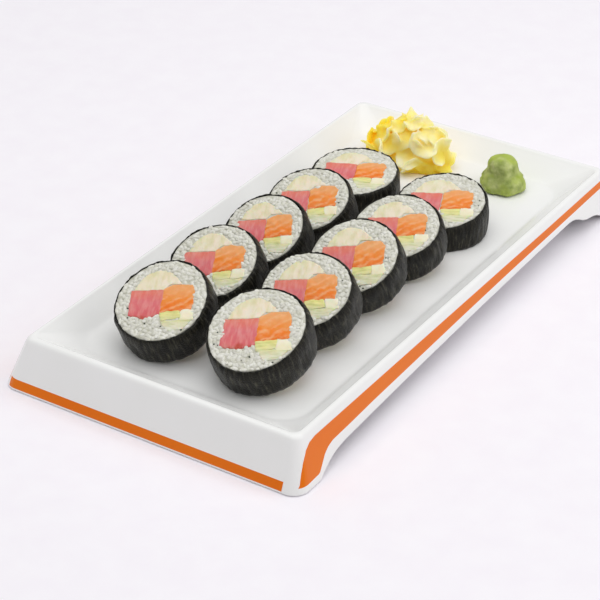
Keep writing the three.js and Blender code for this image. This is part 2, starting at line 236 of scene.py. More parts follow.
def porcelain_material():
    # Hard white porcelain under a clear glossy glaze, with bands of orange under it: bright, very smooth,
    # and just uneven enough to make reflections swim.
    material, tree, shader = new_material(
        "glazed_porcelain", IOR=1.5, Roughness=0.12, Specular_IOR_Level=0.32,
    )
    place = node(tree, "TexCoord").outputs["Object"]
    cloud = node(tree, "TexNoise", {"Vector": place, "Scale": 1 / (40 * MM), "Detail": 3.0}).outputs["Fac"]
    white = node(
        tree, "ValToRGB", {"Fac": cloud}, stops=[(0.3, "#f7f7f5"), (0.7, "#fafaf9")]
    ).outputs["Color"]
    spot = node(tree, "SeparateXYZ", {"Vector": place}).outputs
    side = node(tree, "Math", {0: spot["X"]}, operation="ABSOLUTE").outputs[0]
    length = node(
        tree, "MapRange", {"Value": spot["Y"], "From Min": BAND_FROM * MM, "From Max": BAND_TO * MM}
    ).outputs[0]

    def height_along(line):
        curve = node(tree, "FloatCurve", {"Value": length})
        points = curve.mapping.curves[0].points
        for i, (y, z) in enumerate(line):
            x = (y - BAND_FROM) / (BAND_TO - BAND_FROM)
            if i < 2:
                points[i].location = (x, z / PLATTER_HEIGHT)
            else:
                points.new(x, z / PLATTER_HEIGHT)
        for point in points:
            point.handle_type = "VECTOR"
        curve.mapping.update()
        height = node(tree, "Math", {0: curve.outputs[0], 1: PLATTER_HEIGHT * MM}, operation="MULTIPLY")
        return height.outputs[0]

    def more_than(value, limit):
        gap = node(tree, "Math", {0: value, 1: limit}, operation="SUBTRACT").outputs[0]
        mask = node(tree, "Math", {0: gap, 1: 1 / (BAND_EDGE * MM)}, operation="MULTIPLY", use_clamp=True)
        return mask.outputs[0]

    def both(*masks):
        joined = masks[0]
        for mask in masks[1:]:
            joined = node(tree, "Math", {0: joined, 1: mask}, operation="MULTIPLY").outputs[0]
        return joined

    side_band = both(
        more_than(side, BAND_SIDE_X * MM),
        more_than(height_along(BAND_TOP), spot["Z"]),
        more_than(spot["Z"], height_along(BAND_BOTTOM)),
    )
    end = node(tree, "Math", {0: spot["Y"]}, operation="ABSOLUTE").outputs[0]
    end_band = both(
        more_than(end, END_BAND["y"] * MM),
        more_than(spot["X"], END_BAND["left"] * MM),
        more_than(END_BAND["right"] * MM, spot["X"]),
        more_than(spot["Z"], END_BAND["low"] * MM),
        more_than(END_BAND["high"] * MM, spot["Z"]),
    )
    band = node(tree, "Math", {0: side_band, 1: end_band}, operation="MAXIMUM").outputs[0]
    orange = node(
        tree, "ValToRGB", {"Fac": cloud}, stops=[(0.3, "#ed7203"), (0.7, "#f07a08")]
    ).outputs["Color"]
    colour = node(tree, "Mix", {"Factor": band, 6: white, 7: orange}, data_type="RGBA").outputs[2]
    tree.links.new(colour, shader.inputs["Base Color"])
    swim = node(tree, "TexNoise", {"Vector": place, "Scale": 1 / (18 * MM), "Detail": 1.0}).outputs["Fac"]
    bump = node(tree, "Bump", {"Height": swim, "Strength": 0.04, "Distance": 0.3 * MM}).outputs["Normal"]
    tree.links.new(bump, shader.inputs["Normal"])
    return material


def nori_material():
    # Roasted seaweed pressed into a sheet: green-black, with fine ribs across the sheet that run along
    # the roll's axis, and a faint moist shine where it has taken up water from the rice.
    material, tree, shader = new_material(
        "roasted_seaweed", IOR=1.4, Specular_IOR_Level=0.3, Sheen_Weight=0.12, Sheen_Roughness=0.35,
    )
    place = node(tree, "Attribute", attribute_name="wrap").outputs["Vector"]
    along = node(tree, "Mapping", {"Vector": place, "Scale": (1 / 1.3, 1 / 9, 1)}).outputs[0]
    ribs = node(
        tree, "TexNoise", {"Vector": along, "Scale": 1.0, "Detail": 5.0, "Roughness": 0.7}
    ).outputs["Fac"]
    patch = node(tree, "TexNoise", {"Vector": place, "Scale": 1 / 7, "Detail": 3.0}).outputs["Fac"]
    # Painted highlight in part: the pale stops of the ribs are partly the sheet's own lighter fibres and
    # partly painted highlight for wrinkles catching the light, alike all round the roll.
    streak = node(
        tree, "ValToRGB", {"Fac": ribs},
        stops=[(0.32, "#060502"), (0.45, "#0d0c07"), (0.53, "#232118"), (0.62, "#4a483c"), (0.75, "#817e6b")],
    ).outputs["Color"]
    wash = node(
        tree, "ValToRGB", {"Fac": patch}, stops=[(0.35, "#0a0805"), (0.65, "#1e1b13")]
    ).outputs["Color"]
    colour = node(tree, "Mix", {"Factor": 0.25, 6: streak, 7: wash}, data_type="RGBA").outputs[2]
    tree.links.new(colour, shader.inputs["Base Color"])
    gloss = node(
        tree, "MapRange", {"Value": patch, "From Min": 0.3, "From Max": 0.7, "To Min": 0.3, "To Max": 0.52}
    ).outputs[0]
    tree.links.new(gloss, shader.inputs["Roughness"])
    grit = node(tree, "TexNoise", {"Vector": place, "Scale": 1 / 0.8, "Detail": 2.0}).outputs["Fac"]
    height = node(tree, "Math", {0: ribs, 1: grit}, operation="ADD").outputs[0]
    bump = node(tree, "Bump", {"Height": height, "Strength": 0.8, "Distance": 0.6 * MM}).outputs["Normal"]
    tree.links.new(bump, shader.inputs["Normal"])
    return material


def rice_material():
    # Cooked short-grain rice dressed with vinegar: white, a little glassy at the thin ends of each grain.
    # The bed under the grains is painted a darker grey-green: painted shade for the gaps between the grains.
    material, tree, shader = new_material(
        "dressed_rice", IOR=1.4, Roughness=0.38, Subsurface_Weight=0.08, Subsurface_Scale=0.8 * MM,
    )
    shader.inputs["Subsurface Radius"].default_value = (1.0, 0.95, 0.85)
    tone = node(tree, "Attribute", attribute_name="tone").outputs["Fac"]
    place = node(tree, "TexCoord").outputs["Object"]
    mottle = node(tree, "TexNoise", {"Vector": place, "Scale": 1 / (1.6 * MM), "Detail": 3.0}).outputs["Fac"]
    # Tone 0 is a dark fleck, the low tones up to about 0.32 are the bed's painted gap shade, and the grains
    # take random tones from 0.35 up.
    grain = node(
        tree, "ValToRGB", {"Fac": tone},
        stops=[(0.0, "#3b4230"), (0.06, "#6d725c"), (0.12, "#cdccc0"), (0.35, "#dcdad0"), (1.0, "#f1f0e8")],
    ).outputs["Color"]
    tint = node(
        tree, "ValToRGB", {"Fac": mottle}, stops=[(0.35, "#e6e7da"), (0.6, "#ffffff")]
    ).outputs["Color"]
    colour = node(
        tree, "Mix", {"Factor": 0.7, 6: grain, 7: tint}, data_type="RGBA", blend_type="MULTIPLY"
    ).outputs[2]
    tree.links.new(colour, shader.inputs["Base Color"])
    bump = node(tree, "Bump", {"Height": mottle, "Strength": 0.25, "Distance": 0.25 * MM}).outputs["Normal"]
    tree.links.new(bump, shader.inputs["Normal"])
    return material


def flesh_material(
    name, reach, stops, streak_colour, streak_share, streak_size, line_colour=None, slant=0.0,
):
    """Moist flesh: bands of colour across the block over this reach, fine streaks, and lines of fat."""
    material, tree, shader = new_material(
        name, IOR=1.4, Roughness=0.4, Specular_IOR_Level=0.35, Subsurface_Weight=0.3,
        Subsurface_Scale=1.8 * MM,
    )
    place = node(tree, "Attribute", attribute_name="cut").outputs["Vector"]
    soft = node(tree, "TexNoise", {"Vector": place, "Scale": 1 / 5, "Detail": 2.0}).outputs["Fac"]
    turned_place = node(
        tree, "VectorRotate", {"Vector": place, "Angle": slant}, rotation_type="Z_AXIS"
    ).outputs[0]
    spot = node(tree, "SeparateXYZ", {"Vector": turned_place}).outputs
    sway = node(tree, "Math", {0: soft, 1: 6.0, 2: -3.0}, operation="MULTIPLY_ADD").outputs[0]
    level = node(tree, "Math", {0: spot["Y"], 1: sway}, operation="ADD").outputs[0]
    share = node(tree, "MapRange", {"Value": level, "From Min": reach[0], "From Max": reach[1]}).outputs[0]
    base = node(tree, "ValToRGB", {"Fac": share}, stops=stops).outputs["Color"]
    fibre_place = node(tree, "Mapping", {"Vector": place, "Scale": streak_size}).outputs[0]
    fibre = node(tree, "TexNoise", {"Vector": fibre_place, "Scale": 1.0, "Detail": 3.0}).outputs["Fac"]
    amount = node(
        tree, "MapRange", {"Value": fibre, "From Min": 0.42, "From Max": 0.7, "To Max": streak_share}
    ).outputs[0]
    colour = node(tree, "Mix", {"Factor": amount, 6: base, 7: streak_colour}, data_type="RGBA").outputs[2]
    if line_colour:
        lay = node(
            tree, "Mapping", {"Vector": place, "Location": (-FAT_MIDDLE[0], -FAT_MIDDLE[1], 0)}
        ).outputs[0]
        across = node(tree, "VectorRotate", {"Vector": lay, "Angle": -FAT_ANGLE}, rotation_type="Z_AXIS")
        away = node(tree, "SeparateXYZ", {"Vector": across.outputs[0]}).outputs["Y"]
        swayed = node(tree, "Math", {0: away, 1: sway}, operation="ADD").outputs[0]
        nearest = node(tree, "Math", {0: swayed, 1: FAT_SPACING / 2}, operation="PINGPONG").outputs[0]
        fat = node(
            tree, "MapRange", {"Value": nearest, "From Min": 1.5, "From Max": 0.2, "To Max": 0.8}
        ).outputs[0]
        patchy = node(tree, "MapRange", {"Value": fibre, "From Min": 0.3, "From Max": 0.6}).outputs[0]
        fat = node(tree, "Math", {0: fat, 1: patchy}, operation="MULTIPLY").outputs[0]
        colour = node(tree, "Mix", {"Factor": fat, 6: colour, 7: line_colour}, data_type="RGBA").outputs[2]
    tree.links.new(colour, shader.inputs["Base Color"])
    bump = node(tree, "Bump", {"Height": fibre, "Strength": 0.35, "Distance": 0.15 * MM}).outputs["Normal"]
    tree.links.new(bump, shader.inputs["Normal"])
    return material


def ginger_material():
    # Young ginger pickled in sweet vinegar, sliced thin as petals, translucent and wet. Its colour runs from
    # pale cream-yellow over the outside of the heap to a stronger yellow toward its middle: painted shade for
    # the light that has gone through more slices there. A faint painted glow in the same colour stands in for
    # light shining through the thin slices.
    # Emission Strength is a faint painted glow, standing in for light shining through the slices.
    material, tree, shader = new_material(
        "pickled_ginger", IOR=1.38, Roughness=0.36, Specular_IOR_Level=0.35, Subsurface_Weight=0.8,
        Subsurface_Scale=6.5 * MM, Emission_Strength=0.1,
    )
    shader.inputs["Subsurface Radius"].default_value = (1.0, 0.8, 0.25)
    place = node(tree, "TexCoord").outputs["Object"]
    cloud = node(tree, "TexNoise", {"Vector": place, "Scale": 1 / (9 * MM), "Detail": 2.0}).outputs["Fac"]
    # Painted shade: this attribute turns the colour a stronger yellow toward the middle of the heap.
    deep = node(tree, "Attribute", attribute_name="deep").outputs["Fac"]
    share = node(tree, "Math", {0: cloud, 1: 0.7, 2: -0.35}, operation="MULTIPLY_ADD").outputs[0]
    share = node(tree, "Math", {0: share, 1: deep}, operation="ADD").outputs[0]
    colour = node(
        tree, "ValToRGB", {"Fac": share},
        stops=[(0.05, "#fff2c0"), (0.3, "#ffea92"), (0.55, "#ffe05a"), (0.9, "#ffd42a")],
    ).outputs["Color"]
    tree.links.new(colour, shader.inputs["Base Color"])
    # Painted glow: the emission takes the slices' own colour.
    tree.links.new(colour, shader.inputs["Emission Color"])
    stretched = node(tree, "Mapping", {"Vector": place, "Scale": (1000, 250, 500)}).outputs[0]
    fibre = node(tree, "TexNoise", {"Vector": stretched, "Scale": 1.0, "Detail": 3.0}).outputs["Fac"]
    bump = node(tree, "Bump", {"Height": fibre, "Strength": 0.2, "Distance": 0.3 * MM}).outputs["Normal"]
    tree.links.new(bump, shader.inputs["Normal"])
    return material


def wasabi_material():
    # Wasabi paste pressed by hand: a stiff, finely grained, matt paste of a dull yellow-green, brighter
    # green where it is fresh, with darker patches scattered at random.
    material, tree, shader = new_material(
        "wasabi_paste", IOR=1.4, Roughness=0.6, Specular_IOR_Level=0.3, Subsurface_Weight=0.25,
        Subsurface_Scale=1.5 * MM,
    )
    shader.inputs["Subsurface Radius"].default_value = (0.9, 1.0, 0.4)
    place = node(tree, "TexCoord").outputs["Object"]
    cloud = node(tree, "TexNoise", {"Vector": place, "Scale": 1 / (5 * MM), "Detail": 5.0}).outputs["Fac"]
    paste = node(
        tree, "ValToRGB", {"Fac": cloud},
        stops=[(0.3, "#8b9a4e"), (0.5, "#adb96c"), (0.7, "#cbd28e")],
    ).outputs["Color"]
    fresh = node(tree, "TexNoise", {"Vector": place, "Scale": 1 / (8 * MM), "Detail": 2.0}).outputs["Fac"]
    amount = node(
        tree, "MapRange", {"Value": fresh, "From Min": 0.45, "From Max": 0.65, "To Max": 0.8}
    ).outputs[0]
    colour = node(tree, "Mix", {"Factor": amount, 6: paste, 7: "#aec04e"}, data_type="RGBA").outputs[2]
    tree.links.new(colour, shader.inputs["Base Color"])
    grain = node(tree, "TexNoise", {"Vector": place, "Scale": 1 / (0.9 * MM), "Detail": 3.0}).outputs["Fac"]
    bump = node(tree, "Bump", {"Height": grain, "Strength": 0.45, "Distance": 0.3 * MM}).outputs["Normal"]
    tree.links.new(bump, shader.inputs["Normal"])
    return material


# ---- Platter ----

def arch_line():
    """The lower edge of the long sides as y and z of points along it."""
    points = [ARCH_START]
    for pull_y, pull_z, end_y, end_z in ARCH_BENDS:
        start_y, start_z = points[-1]
        for step in range(1, 9):
            t = step / 8
            a, b, c = (1 - t) ** 2, 2 * t * (1 - t), t * t
            points.append((a * start_y + b * pull_y + c * end_y, a * start_z + b * pull_z + c * end_z))
    return np.array(points).T


ARCH_Y, ARCH_Z = arch_line()


def arch_height(y):
    return max(0.0, float(np.interp(y, ARCH_Y, ARCH_Z, left=0, right=0)))


def rounded_rectangle(side_steps, end_steps, corner_steps):
    """A round of (u, v, cos, sin): the share of the straight sides, and the way the corner faces."""
    spread = [-math.cos(math.pi * k / side_steps) for k in range(side_steps + 1)]
    even = [2 * k / end_steps - 1 for k in range(end_steps + 1)]
    stations = []
    for turn in range(4):
        facing = turn * math.pi / 2
        cos, sin = round(math.cos(facing)), round(math.sin(facing))
        for share in spread if turn % 2 == 0 else even:
            stations.append((cos - sin * share, sin + cos * share, cos, sin))
        for k in range(1, corner_steps):
            angle = facing + k * math.pi / 2 / corner_steps
            corner = (cos - sin, sin + cos)
            stations.append((*corner, math.cos(angle), math.sin(angle)))
    return stations


def platter():
    """One closed glazed body: well, rim, flaring sides, arched long sides and two hollow feet."""
    def well(share, z, corner):
        return (SIDE_SLOPE_RUN * share, END_SLOPE_RUN * share, corner, z, 0, 0)

    def wall(inset, z, corner, follow=0.0):
        return (inset, inset, corner, z, follow, 1)

    top = PLATTER_HEIGHT
    levels = rounded([
        well(1.4, FLOOR_Z, 16), well(1.12, FLOOR_Z, 16), well(1.02, FLOOR_Z + 0.35, 17),
        well(0.9, FLOOR_Z + 1.4, 16), well(0.57, FLOOR_Z + 5.3, 11), well(0.25, top - 1.2, 6),
        well(0.18, top - 0.1, 5), wall(2.1, top, 4.2), wall(1.2, top - 0.1, 4.4), wall(0.4, top - 0.7, 4.6),
        wall(0, top - 1.9, 5), wall(0, top / 2, 7, 0.5), wall(0, 2, 9, 1), wall(0.2, 0.7, 9, 1),
        wall(1.6, 0, 8, 1), wall(4, 0, 6, 1), wall(6.5, 0, 5, 1), wall(7.7, 1, 4, 0.92),
        wall(8, CEILING_Z / 2, 4, 0.5), wall(8.4, CEILING_Z - 0.6, 4, 0.05), wall(10, CEILING_Z, 4),
        wall(16, CEILING_Z, 4),
    ], 2)
    stations = rounded_rectangle(96, 20, 8)

    def place(u, v):
        share_x, share_y, cos, sin = stations[round((u + 1) / 2 * len(stations)) % len(stations)]
        side_inset, end_inset, corner, z, follow, flare = levels[round((v + 1) / 2 * (len(levels) - 1))]
        y, height = 0.0, z
        for _ in range(3):
            drop = flare * (top - height) / top
            half_x = RIM_WIDTH / 2 + SIDE_FLARE * drop - side_inset
            half_y = RIM_LENGTH / 2 + END_FLARE * drop - end_inset
            y = share_y * (half_y - corner) + corner * sin
            height = z + follow * arch_height(y)
        return Vector((share_x * (half_x - corner) + corner * cos, y, height))

    bm = bmesh.new()
    bent_grid(bm, len(stations), len(levels) - 1, place)
    bmesh.ops.remove_doubles(bm, verts=bm.verts, dist=1e-3)
    rims = [edge for edge in bm.edges if edge.is_boundary]
    bmesh.ops.holes_fill(bm, edges=rims, sides=0)
    bmesh.ops.recalc_face_normals(bm, faces=bm.faces)
    finish_piece(bm, "platter_glazed", porcelain_material(), "platter", "platter")


# ---- Rolls ----

Roll = namedtuple("Roll", "name seed radius height slope matrix")


def uneven_round(angle, seed):
    """How far a roll's outline stands out at an angle, as a share of its radius."""
    return 1 + 0.012 * math.cos(2 * angle + seed) + 0.008 * math.cos(3 * angle + 2.3 * seed)


def row_leans(row):
    """Each roll stands on its lower front edge and leans on the upper front edge of the roll behind."""
    front_y, height = row["front_y"], row["height"]
    last = len(front_y) - 1
    leans = [0.0] * len(front_y)
    edge_y = front_y[last]
    edge_z = height[last] - math.tan(math.radians(row["back_slant"])) * row["diameter"][last] / 2
    for i in range(last - 1, -1, -1):
        leans[i] = math.atan2(edge_z + REST_GAP, edge_y - front_y[i])
        edge_y = front_y[i] - height[i] * math.sin(leans[i])
        edge_z = height[i] * math.cos(leans[i])
    return leans


def rolls_of(name, row):
    for i, lean in enumerate(row_leans(row)):
        seed = len(name) + 3 * i
        radius, height = row["diameter"][i] / 2, row["height"][i]
        slant = row["back_slant"] if i == len(row["front_y"]) - 1 else 0
        angles = [k * math.tau / 32 for k in range(32)]
        lowest = min(radius * uneven_round(a, seed) * math.sin(a) for a in angles)
        hinge = Matrix.Translation((row["x"][i], row["front_y"][i], FLOOR_Z + GAP))
        matrix = hinge @ Matrix.Rotation(lean, 4, "X") @ Matrix.Translation((0, -lowest, 0))
        yield Roll(f"{name}_{i + 1}", seed, radius, height, math.tan(math.radians(slant)) / height, matrix)


def finish_layer(bm, roll, layer, material, slot):
    """Slants the back roll's cut, lays the layer where its roll lies and keeps its own coordinates."""
    cut = bm.verts.layers.float_vector.new("cut")
    unturned = Matrix.Rotation(-FACE_TURN, 3, "Z")
    scale = roll.radius / FACE_RADIUS
    for vert in bm.verts:
        spot = unturned @ vert.co / scale
        vert[cut] = (spot.x, spot.y, vert.co.z + 100 * roll.seed)
        vert.co.z *= 1 + roll.slope * vert.co.y
    bm.transform(roll.matrix)
    finish_piece(bm, f"{roll.name}_{layer}", material, slot, roll.name)


def nori_sheet(roll, material):
    """The sheet of seaweed: wrapped once with a lapped seam, wrinkled along the roll, its edges wavy."""
    thick = NORI["thickness"]
    draw = random.Random(f"sheet {roll.seed}")
    seam = math.radians(draw.uniform(*NORI["seam_degrees"]))
    lap = draw.uniform(*NORI["lap"]) / roll.radius
    sweep = math.tau + lap
    bm = bmesh.new()
    wrap = bm.verts.layers.float_vector.new("wrap")

    def place(u, v):
        turn = (u + 1) / 2 * sweep
        angle = seam + turn
        under = max(0.0, min(1.0, 2 - turn / lap))
        ring = Vector((math.cos(angle), math.sin(angle), 0)) * roll.radius
        belly = BELLY * (1 - v ** 4 if v > 0 else 1 - 0.4 * v ** 6)
        belly += 0.45 * rough((ring.x, ring.y, 0.12 * v * roll.height), 2.4, roll.seed)
        belly += 0.6 * rough((ring.x, ring.y, 0.4 * v * roll.height), 8.0, roll.seed + 5)
        belly = max(belly, -0.25 - 0.5 * (1 - v * v)) - under * (thick + 0.1)
        out = uneven_round(angle, roll.seed) + belly / roll.radius
        top = roll.height - 0.1 + 0.4 * rough(ring, 2.6, roll.seed + 9)
        bottom = 0.25 + 0.2 * rough(ring, 3.0, roll.seed + 12)
        z = bottom + (top - bottom) * (v + 1) / 2
        return Vector((ring.x * out, ring.y * out, z))

    verts = bent_grid(bm, *NORI["steps"], place)
    for vert in verts:
        angle = math.atan2(vert.co.y, vert.co.x)
        vert[wrap] = (angle * roll.radius, vert.co.z, 100 * roll.seed)
    bmesh.ops.recalc_face_normals(bm, faces=bm.faces)
    bm.normal_update()
    face = bm.faces[:][0]
    if face.normal.dot(face.calc_center_median() * Vector((1, 1, 0))) < 0:
        bmesh.ops.reverse_faces(bm, faces=bm.faces)
    bmesh.ops.solidify(bm, geom=bm.faces[:], thickness=thick)
    finish_layer(bm, roll, "nori", material, "nori")


def quadratic(start, pull, end, steps):
    """Points along a bend after its start."""
    for k in range(1, steps + 1):
        t = k / steps
        yield tuple((1 - t) ** 2 * s + 2 * t * (1 - t) * p + t * t * e for s, p, e in zip(start, pull, end))


def moon_outline():
    left, right, base, top = (FISH_MOON[key] for key in ("left", "right", "base", "top"))
    corner, crown = (right, base + 3.6), (-4.0, top)
    outline = [(left, base), (0.6, base), (3.0, base + 3.4), corner]
    outline += quadratic(corner, (4.0, top), crown, 6)
    outline += list(quadratic(crown, (-13.0, top - 1), (left, base), 6))[:-1]
    return outline


OUTLINES = {
    "tuna": TUNA, "salmon": SALMON, "white_fish": moon_outline(), "avocado_slice": AVOCADO_SLICE,
    "avocado_block": AVOCADO_BLOCK, "avocado_mash": AVOCADO_MASH,
}


def roll_outlines(roll):
    """The fillings' outlines in this roll, each corner a little off the common layout."""
    draw = random.Random(f"fillings {roll.seed}")
    scale = roll.radius / FACE_RADIUS
    outlines = {}
    for name, outline in OUTLINES.items():
        slip = (draw.uniform(-0.3, 0.3), draw.uniform(-0.3, 0.3))
        loose = 0.45 if len(outline) < 8 else 0.15
        outlines[name] = [
            (
                scale * (x + slip[0] + draw.uniform(-loose, loose)),
                scale * (y + slip[1] + draw.uniform(-loose, loose)),
            )
            for x, y in outline
        ]
    return outlines


def clearance(outline, x, y):
    """How far a point lies outside an outline, and less than nothing inside it."""
    nearest, inside = 1e9, False
    for (ax, ay), (bx, by) in zip(outline, outline[1:] + outline[:1]):
        if (ay > y) != (by > y) and x < (bx - ax) * (y - ay) / (by - ay) + ax:
            inside = not inside
        length = (bx - ax) ** 2 + (by - ay) ** 2
        t = max(0.0, min(1.0, ((x - ax) * (bx - ax) + (y - ay) * (by - ay)) / length))
        nearest = min(nearest, math.hypot(ax + t * (bx - ax) - x, ay + t * (by - ay) - y))
    return -nearest if inside else nearest


def block(outline, low, high, soften):
    """A block of this outline with soft edges."""
    bm = bmesh.new()
    base = bm.faces.new([bm.verts.new((x, y, low)) for x, y in outline])
    risen = bmesh.ops.extrude_face_region(bm, geom=[base])["geom"]
    lifted = [item for item in risen if isinstance(item, bmesh.types.BMVert)]
    bmesh.ops.translate(bm, verts=lifted, vec=(0, 0, high - low))
    bmesh.ops.recalc_face_normals(bm, faces=bm.faces)
    bmesh.ops.bevel(
        bm, geom=bm.edges[:], offset=soften, offset_type="OFFSET", affect="EDGES", segments=3, profile=0.5,
        material=-1, clamp_overlap=True,
    )
    return bm


def dice(bm, spacing, angle=0.0):
    """Cuts a block's faces into squares, so that they can take relief."""
    for facing in (angle, angle + math.pi / 2):
        across = Vector((math.cos(facing), math.sin(facing), 0))
        reach = [vert.co.dot(across) for vert in bm.verts]
        for k in range(math.ceil(min(reach) / spacing), math.floor(max(reach) / spacing) + 1):
            bmesh.ops.bisect_plane(
                bm, geom=bm.verts[:] + bm.edges[:] + bm.faces[:], dist=1e-4, plane_co=across * k * spacing,
                plane_no=across,
            )


def filling(roll, outline, spacing, relief, angle=0.0):
    """A filling that runs through the roll and stands a little out of its cut face, with relief there."""
    low, high, soften = FILLING["foot"], roll.height + FILLING["rise"], FILLING["soften"]
    bm = block(outline, low, high, soften)
    dice(bm, spacing, angle)
    for vert in bm.verts:
        if vert.co.z > high - soften - 0.1:
            vert.co.z += relief(vert.co.x, vert.co.y)
        sway = Vector((vert.co.x, vert.co.y, 0))
        vert.co.x += 0.6 * rough(sway, 3.4, roll.seed) + 0.25 * rough(sway, 1.1, roll.seed + 2)
        vert.co.y += 0.6 * rough(sway, 3.4, roll.seed + 4) + 0.25 * rough(sway, 1.1, roll.seed + 6)
    bm.transform(Matrix.Rotation(FACE_TURN, 4, "Z"))
    return bm


def rice_bed(roll):
    """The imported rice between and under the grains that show, its cuts a little dented."""
    bm = bmesh.new()
    tone = bm.verts.layers.float.new("tone")
    reach = roll.radius - RICE["inset"]
    side = reach + 0.2
    rings = [reach - RICE["ring"] * k for k in range(int(reach / RICE["ring"]) + 1)]
    low, high = RICE["foot"], roll.height - RICE["sunk"]
    profile = [(0.0, low), *((r, low) for r in reversed(rings)), (side, low + RICE["round"])]
    profile += [(side, high - RICE["round"]), *((r, high) for r in rings), (0.0, high)]
    turned(bm, profile, RICE["steps"])
    for vert in bm.verts:
        out = uneven_round(math.atan2(vert.co.y, vert.co.x), roll.seed)
        vert.co.x *= out
        vert.co.y *= out
        dent = 0.25 * rough(vert.co, 2.2, roll.seed)
        vert.co.z += dent if vert.co.z > roll.height / 2 else -dent
        # Painted shade: the bed's low tone makes it darker grey-green than the grains, for the shade in the
        # gaps between them.
        vert[tone] = 0.2 + 0.12 * rough(vert.co, 2.0, roll.seed + 3)
    return bm


def grain_mesh():
    """A grain of length and width 2, a little thinner along one side, with few faces."""
    bm = bmesh.new()
    bmesh.ops.create_icosphere(bm, subdivisions=2, radius=1)
    for vert in bm.verts:
        vert.co.x *= 1 - 0.1 * vert.co.y
    grain = bpy.data.meshes.new("grain")
    bm.to_mesh(grain)
    bm.free()
    return grain


def scattered_grains(roll, outlines):
    """The placing and the tone of each grain and each dark fleck that shows on the two cut faces."""
    draw = random.Random(f"rice {roll.seed}")
    unturned = Matrix.Rotation(-FACE_TURN, 2)
    pitch, slip = GRAIN["pitch"], GRAIN["slip"]
    span = int(roll.radius / pitch) + 2
    for face_z, up in ((roll.height, 1), (0.0, -1)):
        for row in range(-span, span + 1):
            for column in range(-span, span + 1):
                x = (column + 0.5 * (row % 2)) * pitch + draw.uniform(-slip, slip)
                y = row * pitch * 0.87 + draw.uniform(-slip, slip)
                standing = draw.random() < GRAIN["standing"]
                fleck = draw.random() < FLECK["share"]
                spare = draw.uniform(-0.5, 0.5)
                long_half = draw.uniform(*GRAIN["half_length"])
                wide_half = draw.uniform(*GRAIN["half_width"])
                turn = draw.uniform(0, math.tau)
                tilt = draw.uniform(0.9, 1.4) if standing else draw.uniform(-0.25, 0.25)
                lift = draw.uniform(*GRAIN["lift"])
                shade = draw.uniform(0.35, 1.0)
                edge = roll.radius * uneven_round(math.atan2(y, x), roll.seed) - math.hypot(x, y)
                spot = unturned @ Vector((x, y))
                beside, next_beside = sorted(clearance(o, *spot) for o in outlines.values())[:2]
                if edge < GRAIN["edge"] or beside < spare or next_beside < 0.9:
                    continue
                if edge < GRAIN["rim"] and not standing:
                    turn = math.atan2(y, x) + math.pi / 2 + draw.uniform(-0.5, 0.5)
                if fleck and spot.y < FLECK["below"]:
                    long_half, wide_half, lift = FLECK["half_length"], FLECK["half_width"], FLECK["lift"]
                    shade = 0.0
                depth = face_z + up * (lift - GRAIN["depth"])
                placing = (
                    Matrix.Translation((x, y, depth)) @ Matrix.Rotation(turn, 4, "Z")
                    @ Matrix.Rotation(tilt, 4, "Y") @ Matrix.Diagonal((long_half, wide_half, wide_half, 1))
                )
                yield placing, shade


def rice_relief(roll, outlines, material):
    """The bed of rice and, on both cut faces, the grains that show, each a mesh of its own size and tone."""
    grain = grain_mesh()
    grain_verts = len(grain.vertices)
    grains = bmesh.new()
    tones = []
    for placing, shade in scattered_grains(roll, outlines):
        copy = grain.copy()
        copy.transform(placing)
        grains.from_mesh(copy)
        bpy.data.meshes.remove(copy)
        tones.append(shade)
    bpy.data.meshes.remove(grain)

    tone = grains.verts.layers.float.new("tone")
    proud = GRAIN["proud"]
    for i, vert in enumerate(grains.verts):
        vert[tone] = tones[i // grain_verts]
        for face_z, up in ((roll.height, 1), (0.0, -1)):
            over = up * (vert.co.z - face_z) - proud
            if over > 0 and abs(vert.co.z - face_z) < roll.height / 2:
                vert.co.z = face_z + up * (proud + 0.2 * math.tanh(over / 0.3))
        limit = roll.radius * uneven_round(math.atan2(vert.co.y, vert.co.x), roll.seed) - 0.5
        out = math.hypot(vert.co.x, vert.co.y)
        if out > limit:
            vert.co.x *= limit / out
            vert.co.y *= limit / out
    laid = bpy.data.meshes.new("grains")
    grains.to_mesh(laid)
    grains.free()
    bm = rice_bed(roll)
    bm.from_mesh(laid)
    bpy.data.meshes.remove(laid)
    finish_layer(bm, roll, "rice", material, "rice")


